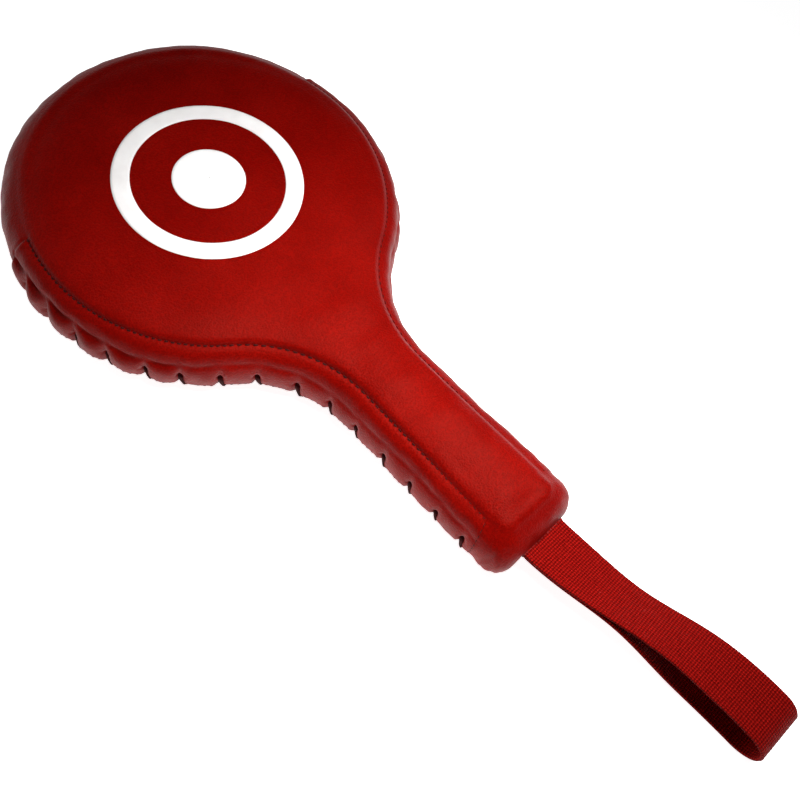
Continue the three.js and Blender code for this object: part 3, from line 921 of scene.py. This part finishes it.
class Nodes:
    """Short names for building a node material."""

    def __init__(self, name):
        self.material = bpy.data.materials.new(name)
        self.material.use_nodes = True
        self.tree = self.material.node_tree
        self.shader = self.tree.nodes["Principled BSDF"]
        self.place = self.add("ShaderNodeTexCoord").outputs["Object"]

    def add(self, kind, **values):
        node = self.tree.nodes.new(kind)
        for key, value in values.items():
            setattr(node, key, value)
        return node

    def link(self, source, target):
        self.tree.links.new(source, target)

    def fill(self, socket, value):
        """Gives a socket a number, a colour or another node's output."""
        if isinstance(value, (int, float)):
            socket.default_value = value
        elif isinstance(value, tuple):
            socket.default_value = (*value, 1)
        else:
            self.link(value, socket)

    def texture(self, kind, inputs, **values):
        """A texture node over the object's own coordinates."""
        node = self.add(kind, **values)
        for key, value in {"Vector": self.place, **inputs}.items():
            self.fill(node.inputs[key], value)
        return node.outputs

    def noise(self, scale, detail=4.0, roughness=0.5, distortion=0.0):
        inputs = {"Scale": scale, "Detail": detail, "Roughness": roughness, "Distortion": distortion}
        return self.texture("ShaderNodeTexNoise", inputs)["Fac"]

    def cells(self, scale, randomness=1.0):
        inputs = {"Scale": scale, "Randomness": randomness}
        return self.texture("ShaderNodeTexVoronoi", inputs)["Distance"]

    def bands(self, scale, direction, distortion=0.0):
        inputs = {"Scale": scale, "Distortion": distortion}
        shape = {"wave_type": "BANDS", "bands_direction": direction}
        return self.texture("ShaderNodeTexWave", inputs, **shape)["Fac"]

    def ramp(self, source, stops):
        node = self.add("ShaderNodeValToRGB")
        elements = node.color_ramp.elements
        while len(elements) < len(stops):
            elements.new(0.5)
        for element, (position, color) in zip(elements, stops):
            element.position = position
            element.color = (*color, 1)
        self.link(source, node.inputs["Fac"])
        return node.outputs["Color"]

    def value_range(self, source, low, high, from_low, from_high):
        node = self.add("ShaderNodeMapRange")
        inputs = {
            "Value": source, "From Min": from_low, "From Max": from_high, "To Min": low, "To Max": high,
        }
        for key, value in inputs.items():
            self.fill(node.inputs[key], value)
        return node.outputs["Result"]

    def math(self, operation, a, b=0):
        node = self.add("ShaderNodeMath", operation=operation)
        self.fill(node.inputs[0], a)
        self.fill(node.inputs[1], b)
        return node.outputs["Value"]

    def mix(self, factor, a, b, blend_type="MIX"):
        node = self.add("ShaderNodeMix", data_type="RGBA", blend_type=blend_type)
        for index, value in ((0, factor), (6, a), (7, b)):
            self.fill(node.inputs[index], value)
        return node.outputs[2]

    def bump(self, height, strength, distance, after=None):
        """A bump of a height in mm, on top of another one where after gives it."""
        node = self.add("ShaderNodeBump")
        self.fill(node.inputs["Strength"], strength)
        self.fill(node.inputs["Distance"], distance * MM)
        self.link(height, node.inputs["Height"])
        if after is not None:
            self.link(after, node.inputs["Normal"])
        return node.outputs["Normal"]

    def set(self, **values):
        """Fills the shader's sockets, with _ for each space in their names."""
        for key, value in values.items():
            self.fill(self.shader.inputs[key.replace("_", " ")], value)
        return self.material


GRAIN_SCALE = 950
FINE_SCALE = 1900
# saturated reds stay saturated only where the surface mirrors little, and red
RED_GLOSS = {"Specular_Tint": (1.0, 0.25, 0.18)}


def leather_material(name, deep, mid, light):
    """Satin synthetic leather with a pebble grain and slight patches of colour."""
    m = Nodes(name)
    patches = m.noise(28, 5, 0.55)
    color = m.ramp(patches, [(0.3, deep), (0.52, mid), (0.75, light)])
    grain = m.cells(GRAIN_SCALE)
    fine = m.noise(FINE_SCALE, 4, 0.7)
    pores = m.value_range(grain, 0.7, 1.14, 0.05, 0.7)
    speck = m.value_range(fine, 0.74, 1.24, 0.34, 0.66)
    shade = m.math("MULTIPLY", m.math("MULTIPLY", pores, speck), 0.8)
    shade = m.ramp(shade, [(0.0, (0, 0, 0)), (1.0, (1.25, 1.25, 1.25))])
    color = m.mix(1.0, color, shade, "MULTIPLY")
    creases = m.noise(190, 6, 0.62, distortion=0.8)
    normal = m.bump(creases, 0.2, 0.6)
    normal = m.bump(grain, 0.6, 0.22, normal)
    normal = m.bump(fine, 0.6, 0.14, normal)
    worn = m.math("ADD", m.math("MULTIPLY", patches, 0.5), m.math("MULTIPLY", fine, 0.5))
    rough = m.value_range(worn, 0.38, 0.52, 0.3, 0.7)
    return m.set(Base_Color=color, Roughness=rough, Normal=normal, Specular_IOR_Level=0.09, **RED_GLOSS)


def thread_material(name, color_low, color_high):
    """Twisted thread with fine fibres."""
    m = Nodes(name)
    color = m.ramp(m.noise(3000, 2), [(0.3, color_low), (0.7, color_high)])
    normal = m.bump(m.bands(900, "DIAGONAL"), 0.5, 0.1)
    return m.set(Base_Color=color, Roughness=0.75, Normal=normal, Specular_IOR_Level=0.15)


def lace_material(name):
    """A flat lace with a tight, almost regular weave."""
    m = Nodes(name)
    weave = m.cells(1300, randomness=0.25)
    color = m.ramp(weave, [(0.1, (0.05, 0.0012, 0.0012)), (0.6, (0.02, 0.0004, 0.0004))])
    normal = m.bump(weave, 0.7, 0.2)
    return m.set(Base_Color=color, Roughness=0.8, Normal=normal, Specular_IOR_Level=0.06)


# in mm along and across the webbing
RIB_PITCH = 1.6
YARN_PITCH = 1.45


def webbing_material(name):
    """Polyester webbing: crosswise ribs broken by lengthwise columns of yarn, with painted highlight on
    the ribs' crests and painted shade in their hollows.
    """
    m = Nodes(name)
    uv = m.add("ShaderNodeUVMap", uv_map="weave").outputs["UV"]
    split = m.add("ShaderNodeSeparateXYZ")
    m.link(uv, split.inputs["Vector"])
    across, along = split.outputs["X"], split.outputs["Y"]
    wobble = m.math("MULTIPLY", m.noise(160, 3), 1.6)
    rib = m.math("SINE", m.math("ADD", m.math("MULTIPLY", along, 2 * math.pi / RIB_PITCH), wobble))
    sway = m.math("MULTIPLY", m.noise(300, 3), 2.2)
    yarn = m.math("SINE", m.math("ADD", m.math("MULTIPLY", across, 2 * math.pi / YARN_PITCH), sway))
    height = m.math("ADD", m.math("MULTIPLY", rib, 0.45), m.math("MULTIPLY", yarn, 0.32))
    # the colour follows the ribs' height: painted highlight on the crests and painted shade in the
    # hollows
    light = m.value_range(height, 0.0, 1.0, -0.7, 0.7)
    weave = m.ramp(light, [
        (0.06, (0.048, 0.0005, 0.0003)), (0.5, (0.155, 0.0014, 0.0009)), (0.95, (0.40, 0.008, 0.005)),
    ])
    fuzz = m.noise(900, 4)
    fibres = m.ramp(fuzz, [(0.25, (0.08, 0.0008, 0.0006)), (0.8, (0.33, 0.005, 0.004))])
    color = m.mix(0.35, weave, fibres)
    normal = m.bump(height, 0.9, 0.35)
    normal = m.bump(fuzz, 0.3, 0.1, normal)
    return m.set(Base_Color=color, Roughness=0.72, Normal=normal, Specular_IOR_Level=0.1,
                 Specular_Tint=(1.0, 0.25, 0.2),
                 Sheen_Weight=0.05, Sheen_Roughness=0.5, Sheen_Tint=(0.9, 0.08, 0.06))


def print_material(name):
    """White ink, slightly mottled, over the leather's grain."""
    m = Nodes(name)
    color = m.ramp(m.noise(90, 5), [(0.3, (0.9, 0.87, 0.86)), (0.7, (0.98, 0.96, 0.95))])
    return m.set(Base_Color=color, Roughness=0.5, Normal=m.bump(m.cells(1500), 0.25, 0.08))


def foam_material(name, low, high, scale):
    m = Nodes(name)
    pores = m.cells(scale)
    color = m.ramp(pores, [(0.1, low), (0.7, high)])
    normal = m.bump(pores, 0.6, 0.4)
    return m.set(Base_Color=color, Roughness=0.9, Normal=normal)


def board_material(name):
    """Brown fibreboard with streaks."""
    m = Nodes(name)
    fibres = m.bands(60, "Y", 6)
    color = m.ramp(fibres, [(0, (0.2, 0.14, 0.08)), (1, (0.34, 0.26, 0.16))])
    return m.set(Base_Color=color, Roughness=0.7, Normal=m.bump(fibres, 0.3, 0.2))


def give(obj, material):
    """Makes this the object's only material."""
    obj.data.materials.clear()
    obj.data.materials.append(material)


LEATHER = leather_material(
    "cover_leather_red", (0.148, 0.0010, 0.0003), (0.172, 0.0014, 0.0005), (0.198, 0.0023, 0.0010))
LACE = lace_material("lace_maroon")
THREAD = thread_material("thread_dark_red", (0.022, 0.0006, 0.0005), (0.06, 0.0014, 0.001))
WEBBING = webbing_material("webbing_red")
PRINT = print_material("print_white")
SOFT_FOAM = foam_material("soft_foam_cream", (0.5, 0.46, 0.38), (0.7, 0.66, 0.57), 700)
DENSE_FOAM = foam_material("dense_foam_grey", (0.03, 0.03, 0.033), (0.07, 0.07, 0.075), 1400)
BOARD = board_material("core_board_fibre")
TAIL_WEBBING = foam_material("webbing_tail_red", (0.1, 0.003, 0.003), (0.3, 0.01, 0.008), 900)

# ---------------------------------------------------------------- the pieces

SEAM_Q = 0.1
HEM_Q = Q_HEM - 3.2
# the visible side's seam thread stands out more
SEAM_THREAD_RADIUS = {"left": 0.46, "right": 0.25}
HEM_THREAD_RADIUS = 0.3
RING_OUTER = (RING_HIGH.x - RING_LOW.x) / 2 / MM
RING_WIDTH = 10.0
DOT_RADIUS = (DOT_HIGH.x - DOT_LOW.x) / 2 / MM


def finish_piece(obj, material, node, body="paddle"):
    give(obj, material)
    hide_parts(node)
    if body:
        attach(obj, body)


FACE = face_cover()
finish_piece(FACE, LEATHER, "front_face_panel")
BACK = back_cover()
finish_piece(BACK, LEATHER, "back_panel")

for side, word in enumerate(("left", "right")):
    band = side_band(f"side_band_cover_{word}", side)
    finish_piece(band, LEATHER, f"side_band_{word}")
    lace = edge_lace(f"edge_lace_{word}_cord", side)
    finish_piece(lace, LACE, f"edge_lace_{word}")
    seam = seam_stitches(f"face_seam_stitches_{word}", side, SEAM_Q, 2.3, 0.42, SEAM_THREAD_RADIUS[word])
    finish_piece(seam, THREAD, f"face_seam_thread_{word}")
    hem = seam_stitches(f"hem_stitches_{word}", side, HEM_Q, 2.6, 0.22, HEM_THREAD_RADIUS)
    finish_piece(hem, THREAD, f"hem_thread_{word}")
    cross = cross_stitches(f"cross_seam_stitches_{word}", side)
    finish_piece(cross, THREAD, f"cross_seam_thread_{word}")

FACE_TREE = BVHTree.FromObject(FACE, bpy.context.evaluated_depsgraph_get())
finish_piece(film("print_target_ring", RING_OUTER - RING_WIDTH, RING_OUTER), PRINT, "print_ring")
finish_piece(film("print_target_dot", 0, DOT_RADIUS), PRINT, "print_dot")

# the strap spans the two bodies across the hinge, so it rides on neither alone
STRAP = wrist_strap()
finish_piece(STRAP, WEBBING, "wrist_strap_loop", body=None)
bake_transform(STRAP)

# hidden pieces inside the cover keep their CAD shapes
INSIDE = {
    "front_soft_foam": SOFT_FOAM, "back_soft_foam": SOFT_FOAM,
    "front_dense_foam": DENSE_FOAM, "back_dense_foam": DENSE_FOAM,
    "core_board": BOARD, "strap_box_stitch": THREAD, "wrist_strap_tail": TAIL_WEBBING,
}
for node, material in INSIDE.items():
    give(frame["nodes"][node], material)

# ---------------------------------------------------------------- camera, floor and light

# found by matching the paddle's outline to the photograph
CAMERA_AZIMUTH = math.radians(25.885)
CAMERA_ELEVATION = math.radians(61.857)
CAMERA_ROLL = math.radians(22.572)
CAMERA_DISTANCE = 0.5617
CAMERA_TARGET = Vector(((HEAD_X + 153.2) * MM, 11.27 * MM, 0))
CAMERA_LENS = 45.18
SENSOR = 36.0


def aim_camera():
    """The photograph's camera, set by where it looks, from which side, how far and how rolled."""
    back = Vector((
        math.sin(CAMERA_AZIMUTH) * math.cos(CAMERA_ELEVATION),
        -math.cos(CAMERA_AZIMUTH) * math.cos(CAMERA_ELEVATION),
        math.sin(CAMERA_ELEVATION),
    ))
    level = (-back).cross(Vector((0, 0, 1))).normalized()
    upright = level.cross(-back)
    right = math.cos(CAMERA_ROLL) * level + math.sin(CAMERA_ROLL) * upright
    up = math.cos(CAMERA_ROLL) * upright - math.sin(CAMERA_ROLL) * level
    camera = in_scene("camera", bpy.data.cameras.new("camera"))
    turn = Matrix((right, up, back)).transposed().to_4x4()
    camera.matrix_world = Matrix.Translation(CAMERA_TARGET + back * CAMERA_DISTANCE) @ turn
    camera.data.sensor_width = SENSOR
    camera.data.lens = CAMERA_LENS
    bpy.context.scene.camera = camera
    return camera


def mirror_place(x, y, distance):
    """Where a light must be to shine in the face at (x, y) towards the camera."""
    spot = Vector((x, y, FACE_HIGH.z))
    towards = (CAMERA.location - spot).normalized()
    return spot + Vector((-towards.x, -towards.y, towards.z)) * distance


def area_light(name, place_at, target, size, power, spread):
    light = bpy.data.lights.new(name, "AREA")
    light.shape = "RECTANGLE"
    light.size, light.size_y = size
    light.energy = power
    light.spread = math.radians(spread)
    obj = in_scene(name, light)
    obj.location = place_at
    obj.rotation_euler = (Vector(target) - Vector(place_at)).to_track_quat("-Z", "Y").to_euler()


CAMERA = aim_camera()
# each light's place and target, its two sides in metres, its watts and its spread in degrees
area_light("key", (0.02, 0.01, 0.50), (-0.01, -0.02, 0.03), (0.2, 0.2), 0.36, 58)
area_light("gloss", mirror_place(0.115, -0.006, 0.7), (0.115, -0.006, 0.04), (0.25, 0.25), 1.12, 70)
area_light("left_fill", (-1.0, -0.42, 0.6), (0, 0, 0), (0.8, 0.6), 1.9, 180)

bpy.context.scene.view_settings.view_transform = "Standard"

WORLD_LIGHT = 0.01
WORLD = bpy.data.worlds.new("studio")
bpy.context.scene.world = WORLD
WORLD.use_nodes = True
BACKGROUND = WORLD.node_tree.nodes["Background"]
BACKGROUND.inputs["Color"].default_value = (1, 1, 1, 1)
BACKGROUND.inputs["Strength"].default_value = WORLD_LIGHT

# the photograph's background is pure white, so the floor glows softly, just under the back's plane
FLOOR_GLOW = 0.95
FLOOR_REACH = 6.0
FLOOR_DROP = 0.0006


def floor():
    mesh = bpy.data.meshes.new("floor")
    corners = [(x * FLOOR_REACH, y * FLOOR_REACH, 0) for x, y in ((-1, -1), (1, -1), (1, 1), (-1, 1))]
    mesh.from_pydata(corners, [], [(0, 1, 2, 3)])
    obj = in_scene("floor", mesh)
    obj.location.z = -FLOOR_DROP
    m = Nodes("floor_paper")
    shade = m.ramp(m.noise(3, 2), [(0.3, (0.9, 0.9, 0.9)), (0.7, (0.93, 0.93, 0.93))])
    give(obj, m.set(Base_Color=shade, Roughness=0.9,
                    Emission_Color=(1, 1, 1), Emission_Strength=FLOOR_GLOW))


floor()
